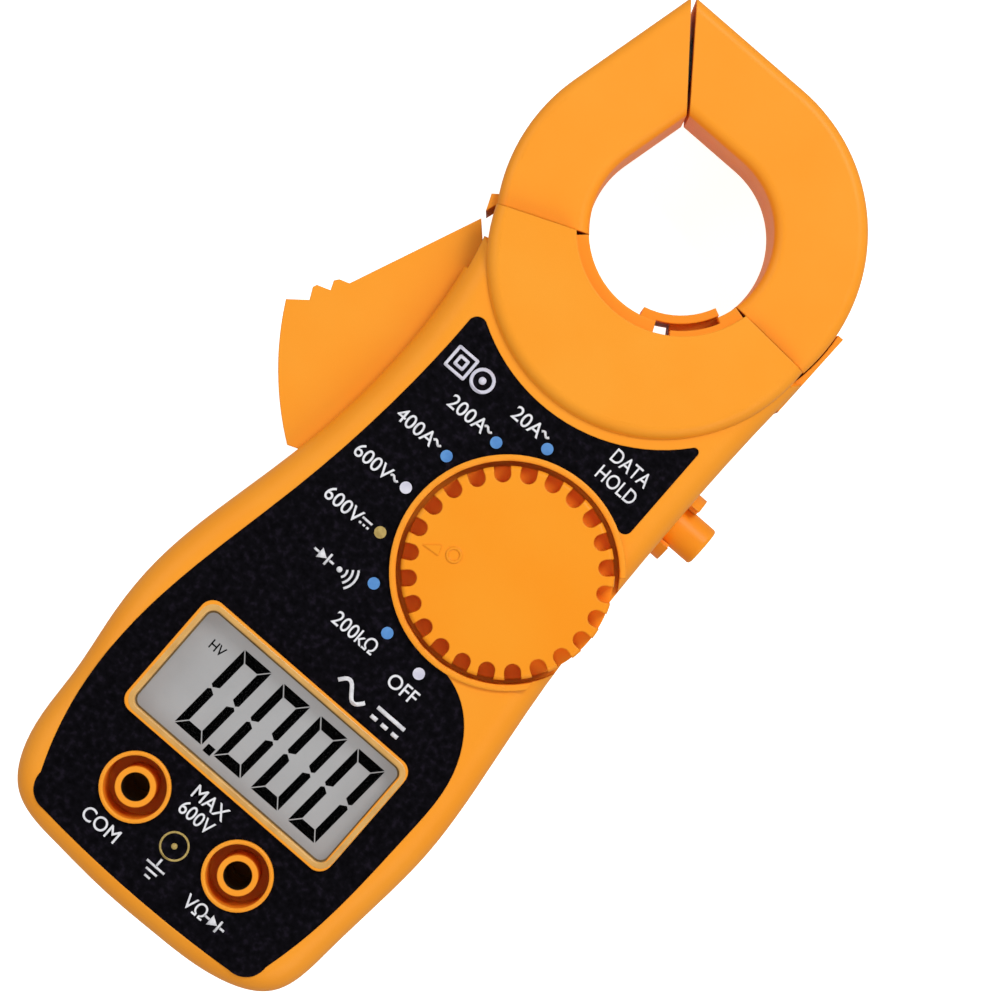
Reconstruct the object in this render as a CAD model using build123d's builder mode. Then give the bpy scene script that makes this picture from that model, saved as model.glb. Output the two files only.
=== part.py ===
from build123d import *
from math import cos, radians, sin
import os

# Pocket clamp meter lying on its back: +Z out of the front face, +Y towards the jaws,
# +X to the right of someone reading it.  Millimetres.

# ---- driving dimensions ------------------------------------------------------------
FACE_Z = 25.0            # front face of the body
SEAM_Z = 13.0            # parting plane of the two casings
COLLAR_Z = 26.5          # top of the raised collar round the jaw roots
WALL = 2.0               # casing wall
BODY_ROUND = 4.0         # rounding of the body's front edge
BACK_ROUND = 3.0

JAW_CENTRE = (-2.75, 80.3)
JAW_HOLE = 13.0          # radius of the conductor window
JAW_OUTER = 26.3
JAW_AXIS = 128.0         # direction of the split between the jaw tips, degrees from +X
TIP_HALF_ANGLE = 38.0    # from the split to where the straight flanks begin
JAW_GAP_ANGLE = 0.7      # half of the wedge-shaped air gap at the tips
JAW_Z = (5.0, 23.5)
JAW_SPLIT_Z = 14.25
ARM_Z = (5.3, 22.7)      # jaw roots inside the casing
ROOT_RADII = (16.6, 24.0)
ROOT_CLEARANCE = 0.4
CORE_RADII = (17.8, 22.0)
CORE_Z = (9.3, 19.2)

COLLAR_CENTRE = (-1.75, 75.1)
COLLAR_RADIUS = 24.8
COLLAR_HOLE = 14.9       # window in the collar's cap
CASE_HOLE = 13.1         # conductor window in the casing under the collar
CASE_HOLE_Z = 23.2
SEAM_LEFT = [(-24.9, 66.0), (-13.3, 70.8)]
SEAM_RIGHT = [(23.0, 76.3), (11.06, 77.0)]

PIVOT = (-16.8, 57.8)
PIVOT_PIN_R = 1.5
HUB_R = 3.75
TRIGGER_Z = (7.2, 19.2)

KNOB_CENTRE = (10.2, 28.0)
KNOB_R = 15.0
KNOB_TOP = 26.85
POINTER_HEIGHT = 0.15
KNOB_FLUTES = 24
WELL_R = 15.7
WELL_RIM = 0.9
WELL_FLOOR = (19.5, 21.2)
SHAFT_R = 4.6
ROTOR_R = 11.3
ROTOR_Z = (15.9, 19.2)

LCD_CENTRE = (-0.35, -11.4)
LCD_OPENING = (35.6, 17.8)
LCD_RIM = 1.0
JACK_X = 9.5             # the two sockets stand 19 mm apart, as test leads expect
JACK_Y = -28.9
JACK_BORE = 2.05         # takes a 4 mm plug
JACK_TUBE_Z = (5.0, 24.2)

BUTTON_Y = 48.9
BUTTON_Z = 11.6
BUTTON_R = 3.05
BUTTON_X = (20.6, 29.2)

BOARD_Z = (13.4, 15.0)
CELL_R = 5.25
CELL_LENGTH = 43.5
CELL_ROWS = (-19.4, -8.2)
CELL_Z = 7.3
SCREWS = [(-18.0, -35.0), (18.0, -35.0), (18.6, 58.0), (-3.0, 49.0)]
COVER_SCREW = (0.0, 1.2)
RIM_HEIGHT = 0.5
LABEL_THICKNESS = 0.3
LABEL_DEPTH = 0.2        # how far the label lies below the face
LABEL_Z = FACE_Z - LABEL_DEPTH
EDGE_POINTS = 28         # spline points round the body's edge

os.makedirs("parts", exist_ok=True)


def polar(centre, radius, angle):
    """Point at a radius and an angle in degrees from a centre."""
    return (centre[0] + radius * cos(radians(angle)), centre[1] + radius * sin(radians(angle)))


def save(part, label):
    """Name a finished solid and write it as its own STEP file."""
    part.label = label
    export_step(part, f"parts/{label}.step")


# ---- plan-view outlines ------------------------------------------------------------
def body_outline(edge, inset):
    """Plan of the body, its edge moved inwards by an inset."""
    spots = [i / EDGE_POINTS for i in range(EDGE_POINTS + 1)]
    inward = [Vector((edge % t).Y, -(edge % t).X) * inset for t in spots]
    points = [edge @ t + shift for t, shift in zip(spots, inward)]
    with BuildSketch() as sketch:
        with BuildLine():
            Spline(*points)
            Line(points[-1], points[0])
        make_face()
    return sketch.sketch


def collar_outline():
    """Crescent-shaped collar that covers the roots of both jaws."""
    start, end = SEAM_LEFT[0], SEAM_RIGHT[0]
    with BuildSketch() as sketch:
        with BuildLine():
            ThreePointArc(start, polar(COLLAR_CENTRE, COLLAR_RADIUS, 280.0), end)
            Line(end, SEAM_RIGHT[1])
            ThreePointArc(SEAM_RIGHT[1], polar(JAW_CENTRE, COLLAR_HOLE, 285.0), SEAM_LEFT[1])
            Line(SEAM_LEFT[1], start)
        make_face()
    return sketch.sketch


def collar_cavity():
    """Room under the collar, open at both seams where the jaws come out."""
    with BuildSketch() as sketch:
        with BuildLine():
            Polyline(SEAM_LEFT[0], SEAM_LEFT[1], JAW_CENTRE, SEAM_RIGHT[1], SEAM_RIGHT[0],
                     (23.0, 45.0), (-25.0, 45.0), close=True)
        make_face()
        with Locations(COLLAR_CENTRE):
            Circle(COLLAR_RADIUS - WALL, mode=Mode.INTERSECT)
        with Locations(JAW_CENTRE):
            Circle(ROOT_RADII[0] - ROOT_CLEARANCE, mode=Mode.SUBTRACT)
    return sketch.sketch


def teardrop(radius):
    """Ring outline with two straight flanks that meet at the jaw tips."""
    first = JAW_AXIS - TIP_HALF_ANGLE
    last = JAW_AXIS + TIP_HALF_ANGLE
    tip = polar(JAW_CENTRE, radius / cos(radians(TIP_HALF_ANGLE)), JAW_AXIS)
    with BuildSketch() as sketch:
        with BuildLine():
            CenterArc(JAW_CENTRE, radius, last, 360 - 2 * TIP_HALF_ANGLE)
            Line(polar(JAW_CENTRE, radius, first), tip)
            Line(tip, polar(JAW_CENTRE, radius, last))
        make_face()
    return sketch.sketch


def wedge(start, end):
    """Large pie slice about the jaw centre, between two directions in degrees."""
    steps = int((end - start) // 45) + 1
    rim = [polar(JAW_CENTRE, 60.0, start + (end - start) * i / steps) for i in range(steps + 1)]
    with BuildSketch() as sketch:
        with BuildLine():
            Polyline(JAW_CENTRE, *rim, close=True)
        make_face()
    return sketch.sketch


def ring_slice(inner, outer, start, end):
    """Part of the teardrop ring between two directions."""
    whole, hole, share = teardrop(outer), teardrop(inner), wedge(start, end)
    with BuildSketch() as sketch:
        add(whole)
        add(hole, mode=Mode.SUBTRACT)
        add(share, mode=Mode.INTERSECT)
    return sketch.sketch


def arc_slice(inner, outer, start, end):
    """Part of a plain round ring about the jaw centre."""
    share = wedge(start, end)
    with BuildSketch() as sketch:
        with Locations(JAW_CENTRE):
            Circle(outer)
            Circle(inner, mode=Mode.SUBTRACT)
        add(share, mode=Mode.INTERSECT)
    return sketch.sketch


def jaw_plan(share, seam):
    """Visible part of one jaw: its share of the ring, cut just clear of the collar's end."""
    (x0, y0), (x1, y1) = seam
    slope = (y1 - y0) / (x1 - x0)
    outward = 15.0 if x0 > x1 else -15.0
    outer = (x0 + outward, y0 + slope * outward + 0.25)
    inner = (x1 - outward / 3, y1 - slope * outward / 3 + 0.25)
    with BuildSketch() as sketch:
        add(share)
        with BuildLine():
            Polyline(outer, inner, (inner[0], 30.0), (outer[0], 30.0), close=True)
        make_face(mode=Mode.SUBTRACT)
    return sketch.sketch


def label_outline():
    """Printed overlay: hugs the collar above and the knob well on the right."""
    well_edge = WELL_R + WELL_RIM
    top_radius = COLLAR_RADIUS + 1.4
    left = [(-20.9, -36.0), (-24.4, -6.0), (-20.0, 17.9), (-17.3, 41.0), (-17.1, 51.4)]
    top = [polar(COLLAR_CENTRE, top_radius, angle) for angle in (239.3, 270.0, 320.1)]
    right = [(19.5, 57.9), (19.5, 43.7)]
    well = [polar(KNOB_CENTRE, well_edge, angle) for angle in (62.5, 170.0, 280.0)]
    swing = [well[2], (19.6, 7.9), (23.1, 1.1), (23.7, -9.0), (22.4, -29.0), (20.9, -36.0)]
    bottom = [(17.2, -39.7), (-17.2, -39.7)]
    with BuildSketch() as sketch:
        with BuildLine():
            Spline(*left)
            ThreePointArc(left[-1], (-16.4, 52.45), top[0])
            ThreePointArc(*top)
            ThreePointArc(top[2], (19.08, 58.5), right[0])
            Line(*right)
            ThreePointArc(right[1], (19.0, 42.8), well[0])
            ThreePointArc(*well)
            Spline(*swing)
            ThreePointArc(swing[-1], (19.9, -38.7), bottom[0])
            ThreePointArc(bottom[0], (0.0, -40.5), bottom[1])
            ThreePointArc(bottom[1], (-19.9, -38.7), left[0])
        make_face()
    return sketch.sketch


def guard_outline():
    """Side guard that closes the corner between the body and the fixed jaw."""
    with BuildSketch() as sketch:
        with BuildLine():
            Polyline((21.5, 74.0), (24.2, 70.0), (24.45, 83.9), (21.5, 83.9), close=True)
        make_face()
        with Locations(JAW_CENTRE):
            Circle(JAW_OUTER + 0.2, mode=Mode.SUBTRACT)
    return sketch.sketch


def lcd_rectangle(margin, radius):
    """Rounded rectangle round the display opening, grown by a margin."""
    with BuildSketch() as sketch:
        with Locations(LCD_CENTRE):
            RectangleRounded(LCD_OPENING[0] + 2 * margin, LCD_OPENING[1] + 2 * margin, radius)
    return sketch.sketch


# waisted body: wide round the display, narrow beside the knob
corner = [(-15.0, -42.4), (-21.5, -40.6), (-25.2, -36.0), (-26.2, -29.0)]
left_side = [(-28.4, -6.0), (-24.0, 19.5), (-21.5, 43.0), (-24.0, 62.0)]
right_side = [(24.3, 75.2), (23.6, 45.0), (25.3, 14.5), (27.7, -12.0)]
mirrored_corner = [(-x, y) for x, y in reversed(corner)]
body_edge = Spline(*right_side, *mirrored_corner, (0.0, -43.3), *corner, *left_side)
body_face = body_outline(body_edge, 0.0)
body_room = body_outline(body_edge, WALL)
collar_face = collar_outline()
collar_room = collar_cavity()
label_face = label_outline()
guard_plan = guard_outline()
hole_wall = arc_slice(CASE_HOLE, ROOT_RADII[0] - ROOT_CLEARANCE, 222.8, 346.3)
LIP_RADII = (11.7, 12.9)
lip_edge = arc_slice(*LIP_RADII, 284.5, 335.5)
lip_end = arc_slice(LIP_RADII[1] - 0.1, CASE_HOLE + 0.2, 284.5, 294.7)
lip_groove = arc_slice(LIP_RADII[1], 14.0, 294.7, 333.5)
lip_floor = arc_slice(LIP_RADII[1] - 0.1, 14.1, 304.1, 335.5)
collar_bridge = arc_slice(COLLAR_HOLE, ROOT_RADII[0] - ROOT_CLEARANCE, 222.8, 346.3)
LIP_TOP = 21.0
lip_window = arc_slice(LIP_RADII[1], COLLAR_HOLE, 294.7, 304.1)
lcd_rim = lcd_rectangle(LCD_RIM, 2.0)
lcd_hole = lcd_rectangle(0.0, 1.2)
lcd_seat = lcd_rectangle(1.4, 1.5)
lcd_step = lcd_rectangle(-0.1, 1.1)
glass_plan = lcd_rectangle(1.3, 0.3)
frame_plan = lcd_rectangle(2.8, 1.0)
frame_room = lcd_rectangle(1.4, 0.3)

JACKS = [(-JACK_X, JACK_Y), (JACK_X, JACK_Y)]
ROOT_SLOT = (-24.0, 62.2)    # side opening where the moving jaw's root swings
SWEEP_R = 10.6               # the visible jaw stays outside this radius round the pivot

# ---- front casing --------------------------------------------------------------------
with BuildPart() as front_body:
    with BuildSketch(Plane.XY.offset(SEAM_Z)):
        add(body_face)
    extrude(amount=FACE_Z - SEAM_Z)
    fillet(front_body.faces().sort_by(Axis.Z)[-1].edges(), BODY_ROUND)

with BuildPart() as front_collar:
    with BuildSketch(Plane.XY.offset(SEAM_Z)):
        add(collar_face)
    extrude(amount=COLLAR_Z - SEAM_Z)
    collar_rim = front_collar.faces().sort_by(Axis.Z)[-1].edges().sort_by(SortBy.LENGTH)[-1]
    fillet(collar_rim, 1.8)

with BuildPart() as front_casing:
    add(front_body.part)
    add(front_collar.part)
    # guard beside the fixed jaw, and the two ears that shield the hold button
    with BuildSketch(Plane.XY.offset(SEAM_Z)):
        add(guard_plan)
    extrude(amount=8.0)
    with BuildSketch(Plane.YZ.offset(20.0)):
        with Locations((BUTTON_Y, BUTTON_Z)):
            Circle(5.5)
            Rectangle(6.7, 12.0, mode=Mode.SUBTRACT)
        with Locations((BUTTON_Y, SEAM_Z + 5.0)):
            Rectangle(14.0, 10.0, mode=Mode.INTERSECT)
    extrude(amount=5.3)
    # raised rims round the display, the sockets and the knob well
    with BuildSketch(Plane.XY.offset(FACE_Z - 1.0)):
        add(lcd_rim)
        with Locations(*JACKS):
            Circle(5.1)
    extrude(amount=1.0 + RIM_HEIGHT)
    with BuildSketch(Plane.XY.offset(FACE_Z - 1.0)):
        with Locations(KNOB_CENTRE):
            Circle(WELL_R + WELL_RIM)
        add(body_room, mode=Mode.INTERSECT)
    extrude(amount=1.0 + RIM_HEIGHT)
    # hollow inside
    with BuildSketch(Plane.XY.offset(SEAM_Z)):
        add(body_room)
    extrude(amount=FACE_Z - WALL - SEAM_Z, mode=Mode.SUBTRACT)
    with BuildSketch(Plane.XY.offset(SEAM_Z)):
        add(collar_room)
    extrude(amount=COLLAR_Z - 2.3 - SEAM_Z, mode=Mode.SUBTRACT)
    # conductor window
    with BuildSketch(Plane.XY.offset(SEAM_Z)):
        with Locations(JAW_CENTRE):
            Circle(COLLAR_HOLE)
    extrude(amount=20.0, mode=Mode.SUBTRACT)
    with BuildSketch(Plane.XY.offset(SEAM_Z)):
        add(hole_wall)
    extrude(amount=CASE_HOLE_Z - SEAM_Z)
    with BuildSketch(Plane.XY.offset(CASE_HOLE_Z - 0.1)):
        add(collar_bridge)
    extrude(amount=COLLAR_Z - 2.0 - CASE_HOLE_Z)
    # lip that centres the conductor, with a groove and a small window behind it
    with BuildSketch(Plane.XY.offset(SEAM_Z)):
        add(lip_groove)
        add(lip_window)
    extrude(amount=20.0, mode=Mode.SUBTRACT)
    with BuildSketch(Plane.XY.offset(SEAM_Z)):
        add(lip_edge)
        add(lip_end)
    extrude(amount=LIP_TOP - SEAM_Z)
    with BuildSketch(Plane.XY.offset(SEAM_Z)):
        add(lip_floor)
    extrude(amount=LIP_TOP - 3.0 - SEAM_Z)
    # knob well
    with BuildSketch(Plane.XY.offset(WELL_FLOOR[0])):
        with Locations(KNOB_CENTRE):
            Circle(WELL_R + WELL_RIM)
        add(body_face, mode=Mode.INTERSECT)
    extrude(amount=FACE_Z - 1.0 - WELL_FLOOR[0])
    with BuildSketch(Plane.XY.offset(WELL_FLOOR[1])):
        with Locations(KNOB_CENTRE):
            Circle(WELL_R)
    extrude(amount=10.0, mode=Mode.SUBTRACT)
    with BuildSketch(Plane.XY.offset(WELL_FLOOR[0])):
        with Locations(KNOB_CENTRE):
            Circle(SHAFT_R + 0.08)
    extrude(amount=10.0, mode=Mode.SUBTRACT)
    # display opening with a seat for the window
    with BuildSketch(Plane.XY.offset(FACE_Z - 4.0)):
        add(lcd_hole)
    extrude(amount=6.0, mode=Mode.SUBTRACT)
    # sockets: shroud, annular well and insulating tube
    with BuildSketch(Plane.XY.offset(15.3)):
        with Locations(*JACKS):
            Circle(5.5)
    extrude(amount=FACE_Z - 1.0 - 15.3)
    with BuildSketch(Plane.XY.offset(16.8)):
        with Locations(*JACKS):
            Circle(4.5)
    extrude(amount=10.0, mode=Mode.SUBTRACT)
    with BuildSketch(Plane.XY.offset(15.3)):
        with Locations(*JACKS):
            Circle(2.9)
    extrude(amount=9.5)
    with BuildSketch(Plane.XY.offset(15.0)):
        with Locations(*JACKS):
            Circle(2.5)
    extrude(amount=JACK_TUBE_Z[1] + 0.05 - 15.0, mode=Mode.SUBTRACT)
    with BuildSketch(Plane.XY.offset(15.0)):
        with Locations(*JACKS):
            Circle(JACK_BORE)
    extrude(amount=12.0, mode=Mode.SUBTRACT)
    # screw pillars
    with BuildSketch(Plane.XY.offset(SEAM_Z)):
        with Locations(*SCREWS):
            Circle(2.9)
    extrude(amount=FACE_Z - 1.5 - SEAM_Z)
    with BuildSketch(Plane.XY.offset(SEAM_Z)):
        with Locations(*SCREWS):
            Circle(1.1)
    extrude(amount=8.0, mode=Mode.SUBTRACT)
    # upper bearing of the jaw pivot
    with BuildSketch(Plane.XY.offset(22.0)):
        with Locations(PIVOT):
            Circle(PIVOT_PIN_R + 0.02)
    extrude(amount=3.5, mode=Mode.SUBTRACT)
    # openings for trigger, jaw root and hold button
    with BuildSketch(Plane.XY.offset(SEAM_Z)):
        with Locations((-26.0, 42.0)):
            Rectangle(15.4, 43.4)
    extrude(amount=TRIGGER_Z[1] + 0.3 - SEAM_Z, mode=Mode.SUBTRACT)
    with BuildSketch(Plane.XY.offset(SEAM_Z)):
        with Locations(ROOT_SLOT):
            Rectangle(12.0, 11.0)
    extrude(amount=ARM_Z[1] + 0.3 - SEAM_Z, mode=Mode.SUBTRACT)
    with BuildSketch(Plane.XY.offset(SEAM_Z)):
        with Locations(ROOT_SLOT):
            Rectangle(12.0, 11.0)
        with Locations(PIVOT):
            Circle(SWEEP_R, mode=Mode.SUBTRACT)
    extrude(amount=JAW_Z[1] + 0.3 - SEAM_Z, mode=Mode.SUBTRACT)
    with BuildSketch(Plane.YZ.offset(15.0)):
        with Locations((BUTTON_Y, BUTTON_Z)):
            Circle(BUTTON_R + 0.1)
    extrude(amount=15.0, mode=Mode.SUBTRACT)
    # recess for the overlay
    with BuildSketch(Plane.XY.offset(LABEL_Z - LABEL_THICKNESS)):
        add(label_face)
        add(lcd_rim, mode=Mode.SUBTRACT)
        with Locations(*JACKS):
            Circle(5.1, mode=Mode.SUBTRACT)
    extrude(amount=LABEL_THICKNESS + LABEL_DEPTH, mode=Mode.SUBTRACT)
save(front_casing.part, "front_casing")

# ---- rear casing ---------------------------------------------------------------------
with BuildPart() as rear_body:
    with BuildSketch():
        add(body_face)
    extrude(amount=SEAM_Z)
    fillet(rear_body.faces().sort_by(Axis.Z)[0].edges(), BACK_ROUND)

with BuildPart() as rear_collar:
    with BuildSketch():
        add(collar_face)
    extrude(amount=SEAM_Z)
    fillet(rear_collar.faces().sort_by(Axis.Z)[0].edges(), 1.8)

COVER_SIZE = (46.4, 22.0)
COVER_Y = -13.8
COVER_THICKNESS = 1.8
COVER_TAB = (9.0, 7.4)
TAB_Y = 0.6
FIT = 0.2


def cover_outline(margin):
    """Battery cover in plan: a rectangle with a tongue for its screw."""
    with BuildSketch() as sketch:
        with Locations((0.0, COVER_Y)):
            Rectangle(COVER_SIZE[0] + 2 * margin, COVER_SIZE[1] + 2 * margin)
        with Locations((0.0, TAB_Y)):
            Rectangle(COVER_TAB[0] + 2 * margin, COVER_TAB[1] + 2 * margin)
    return sketch.sketch


cover_plan = cover_outline(0.0)
cover_gap = cover_outline(FIT)

with BuildPart() as rear_casing:
    add(rear_body.part)
    add(rear_collar.part)
    with BuildSketch(Plane.XY.offset(5.0)):
        add(guard_plan)
    extrude(amount=SEAM_Z - 5.0)
    with BuildSketch(Plane.YZ.offset(20.0)):
        with Locations((BUTTON_Y, BUTTON_Z)):
            Circle(5.5)
        with Locations((BUTTON_Y, SEAM_Z - 5.0)):
            Rectangle(14.0, 10.0, mode=Mode.INTERSECT)
    extrude(amount=5.3)
    # hollow inside
    with BuildSketch(Plane.XY.offset(WALL)):
        add(body_room)
        with Locations((0.0, 90.0)):
            Rectangle(120.0, 87.0, mode=Mode.SUBTRACT)
    extrude(amount=SEAM_Z, mode=Mode.SUBTRACT)
    with BuildSketch(Plane.XY.offset(ARM_Z[0] - 0.6)):
        add(body_room)
        add(collar_room)
    extrude(amount=SEAM_Z, mode=Mode.SUBTRACT)
    with BuildSketch(Plane.XY.offset(-1.0)):
        with Locations(JAW_CENTRE):
            Circle(COLLAR_HOLE)
    extrude(amount=SEAM_Z + 1.0, mode=Mode.SUBTRACT)
    with BuildSketch(Plane.XY.offset(2.0)):
        add(hole_wall)
    extrude(amount=SEAM_Z - 2.0)
    with BuildSketch():
        add(lip_groove)
        add(lip_window)
    extrude(amount=SEAM_Z, mode=Mode.SUBTRACT)
    with BuildSketch(Plane.XY.offset(7.0)):
        add(lip_edge)
        add(lip_end)
        add(lip_floor)
    extrude(amount=SEAM_Z - 7.0)
    # battery bay and its ribs
    with BuildSketch(Plane.XY.offset(WALL)):
        with Locations((0.0, COVER_Y)):
            Rectangle(53.4, COVER_SIZE[1] + 2.8)
            Rectangle(48.8, COVER_SIZE[1] + 0.4, mode=Mode.SUBTRACT)
        add(body_room, mode=Mode.INTERSECT)
    extrude(amount=8.0)
    with BuildSketch(Plane.XY.offset(-1.0)):
        add(cover_gap)
    extrude(amount=WALL + 1.0, mode=Mode.SUBTRACT)
    with BuildSketch(Plane.XY.offset(WALL)):
        with Locations((0.0, TAB_Y + 0.6)):
            Rectangle(COVER_TAB[0] + 4.0, COVER_TAB[1])
    extrude(amount=6.0)
    with BuildSketch(Plane.XY.offset(WALL)):
        with Locations((0.0, COVER_Y)):
            Rectangle(46.8, COVER_SIZE[1] + 0.4)
        with Locations(COVER_SCREW):
            Circle(1.0)
    extrude(amount=5.0, mode=Mode.SUBTRACT)
    # screw pillars, counterbored from the back
    with BuildSketch(Plane.XY.offset(1.0)):
        with Locations(*SCREWS):
            Circle(3.3)
    extrude(amount=SEAM_Z - 1.0)
    with BuildSketch(Plane.XY.offset(-1.0)):
        with Locations(*SCREWS):
            Circle(2.35)
    extrude(amount=4.0, mode=Mode.SUBTRACT)
    with BuildSketch(Plane.XY.offset(2.0)):
        with Locations(*SCREWS):
            Circle(1.35)
    extrude(amount=SEAM_Z, mode=Mode.SUBTRACT)
    # lower bearing of the jaw pivot
    with BuildSketch(Plane.XY.offset(1.5)):
        with Locations(PIVOT):
            Circle(3.4)
    extrude(amount=ARM_Z[0] - 0.25 - 1.5)
    with BuildSketch(Plane.XY.offset(1.6)):
        with Locations(PIVOT):
            Circle(PIVOT_PIN_R + 0.02)
    extrude(amount=6.0, mode=Mode.SUBTRACT)
    # openings for trigger, jaw root and hold button
    with BuildSketch(Plane.XY.offset(TRIGGER_Z[0] - 0.3)):
        with Locations((-26.0, 42.0)):
            Rectangle(15.4, 43.4)
    extrude(amount=SEAM_Z, mode=Mode.SUBTRACT)
    with BuildSketch(Plane.XY.offset(JAW_Z[0] - 0.3)):
        with Locations(ROOT_SLOT):
            Rectangle(12.0, 11.0)
    extrude(amount=SEAM_Z, mode=Mode.SUBTRACT)
    with BuildSketch(Plane.YZ.offset(15.0)):
        with Locations((BUTTON_Y, BUTTON_Z)):
            Circle(BUTTON_R + 0.1)
    extrude(amount=15.0, mode=Mode.SUBTRACT)
save(rear_casing.part, "rear_casing")

# ---- face pieces -----------------------------------------------------------------------
with BuildPart() as front_label:
    with BuildSketch(Plane.XY.offset(LABEL_Z - LABEL_THICKNESS)):
        add(label_face)
        add(lcd_rim, mode=Mode.SUBTRACT)
        with Locations(*JACKS):
            Circle(5.1, mode=Mode.SUBTRACT)
    extrude(amount=LABEL_THICKNESS)
save(front_label.part, "front_label")

with BuildPart() as display_window:
    with BuildSketch(Plane.XY.offset(FACE_Z - WALL - 0.9)):
        add(lcd_seat)
    extrude(amount=0.9)
    with BuildSketch(Plane.XY.offset(FACE_Z - WALL - 0.5)):
        add(lcd_step)
    extrude(amount=2.2)
save(display_window.part, "display_window")

with BuildPart() as lcd_glass:
    with BuildSketch(Plane.XY.offset(19.8)):
        add(glass_plan)
    extrude(amount=2.1)
save(lcd_glass.part, "lcd_glass")

with BuildPart() as lcd_frame:
    with BuildSketch(Plane.XY.offset(BOARD_Z[1])):
        add(frame_plan)
        add(frame_room, mode=Mode.SUBTRACT)
    extrude(amount=21.8 - BOARD_Z[1])
save(lcd_frame.part, "lcd_frame")

with BuildPart() as contact_strips:
    with BuildSketch(Plane.XY.offset(BOARD_Z[1])):
        with Locations((LCD_CENTRE[0], LCD_CENTRE[1] + 8.0), (LCD_CENTRE[0], LCD_CENTRE[1] - 8.0)):
            Rectangle(34.0, 1.8)
    extrude(amount=19.8 - BOARD_Z[1])
save(contact_strips.part, "lcd_contact_strips")

# ---- circuit board ---------------------------------------------------------------------
with BuildPart() as circuit_board:
    with BuildSketch(Plane.XY.offset(BOARD_Z[0])):
        with BuildLine():
            Polyline((-20.0, -38.0), (20.0, -38.0), (22.8, -32.0), (24.6, -8.0), (22.4, 14.0),
                     (20.8, 30.0), (20.5, 43.5), (18.6, 45.0),
                     (18.6, 53.0), (9.0, 53.0), (6.0, 46.0), (-3.3, 46.0),
                     (-3.3, 19.0), (-21.5, 16.5), (-24.8, -4.0), (-23.0, -32.0), close=True)
        make_face()
        with Locations(*SCREWS):
            Circle(3.7, mode=Mode.SUBTRACT)
        with Locations(*JACKS):
            Circle(2.55, mode=Mode.SUBTRACT)
        with Locations(KNOB_CENTRE):
            Circle(1.8, mode=Mode.SUBTRACT)
    extrude(amount=BOARD_Z[1] - BOARD_Z[0])
save(circuit_board.part, "circuit_board")

with BuildPart() as meter_chip:
    with BuildSketch(Plane.XY.offset(BOARD_Z[1])):
        with Locations(LCD_CENTRE):
            RectangleRounded(13.0, 9.0, 1.0)
    extrude(amount=1.5)
save(meter_chip.part, "meter_chip")

with BuildPart() as buzzer:
    with BuildSketch(Plane.XY.offset(9.6)):
        with Locations((-13.5, 8.0)):
            Circle(6.5)
    extrude(amount=BOARD_Z[0] - 9.6)
    fillet(buzzer.faces().sort_by(Axis.Z)[0].edges(), 0.5)
save(buzzer.part, "piezo_buzzer")

with BuildPart() as capacitors:
    with BuildSketch(Plane.XY.offset(7.6)):
        with Locations((12.0, 8.0), (17.5, 8.0)):
            Circle(2.2)
    extrude(amount=BOARD_Z[0] - 7.6)
save(capacitors.part, "capacitors")

with BuildPart() as thermistor:
    with BuildSketch(Plane.XZ.offset(33.2)):
        with Locations((0.0, 9.9)):
            Circle(3.4)
    extrude(amount=2.2)
save(thermistor.part, "ptc_thermistor")

with BuildPart() as trimmer:
    with BuildSketch(Plane.XY.offset(10.2)):
        with Locations((8.0, 16.0)):
            Rectangle(6.0, 6.0)
    extrude(amount=BOARD_Z[0] - 10.2)
    with BuildSketch(Plane.XY.offset(9.7)):
        with Locations((8.0, 16.0)):
            Circle(2.0)
            Rectangle(3.0, 0.6, mode=Mode.SUBTRACT)
    extrude(amount=0.5)
save(trimmer.part, "calibration_trimmer")

# ---- test-lead sockets -----------------------------------------------------------------
for side, label in ((0, "input_jack_com"), (1, "input_jack_volt")):
    with BuildPart() as input_jack:
        with BuildSketch(Plane.XY.offset(JACK_TUBE_Z[0])):
            with Locations(JACKS[side]):
                Circle(2.45)
                Circle(JACK_BORE, mode=Mode.SUBTRACT)
        extrude(amount=JACK_TUBE_Z[1] - JACK_TUBE_Z[0])
    save(input_jack.part, label)

# ---- batteries and their contacts ------------------------------------------------------
POLARITY = (1, -1)
for row in (0, 1):
    with BuildPart() as battery:
        tip = POLARITY[row]
        with Locations(Location((-0.5 * tip, CELL_ROWS[row], CELL_Z), (0, 90, 0))):
            Cylinder(CELL_R, CELL_LENGTH)
        fillet(battery.edges(), 0.5)
        with Locations(Location((tip * (CELL_LENGTH + 0.2) / 2, CELL_ROWS[row], CELL_Z),
                                (0, 90, 0))):
            Cylinder(1.9, 1.6)
    save(battery.part, f"battery_{row + 1}")

# ---- batteries' contacts and cover -----------------------------------------------------
SPRING_LENGTH = 1.1
SPRING_WIRE_R = 0.22

spring_coil = Helix(0.5, SPRING_LENGTH, 2.4)
with BuildPart() as spring_form:
    with BuildSketch(Plane(origin=spring_coil @ 0, z_dir=spring_coil % 0)):
        Circle(SPRING_WIRE_R)
    sweep(path=spring_coil, is_frenet=True)

with BuildPart() as battery_springs:
    for row in (0, 1):
        back = -POLARITY[row]
        place = Location((back * (CELL_LENGTH / 2 + 0.78), CELL_ROWS[row], CELL_Z), (0, 90 * back, 0))
        add(spring_form.part.moved(place))
save(battery_springs.part, "battery_springs")

with BuildPart() as battery_plates:
    for side in (-1, 1):
        with Locations((side * 24.2, COVER_Y, CELL_Z)):
            Box(0.3, 20.0, 9.0)
save(battery_plates.part, "battery_plates")

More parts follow.
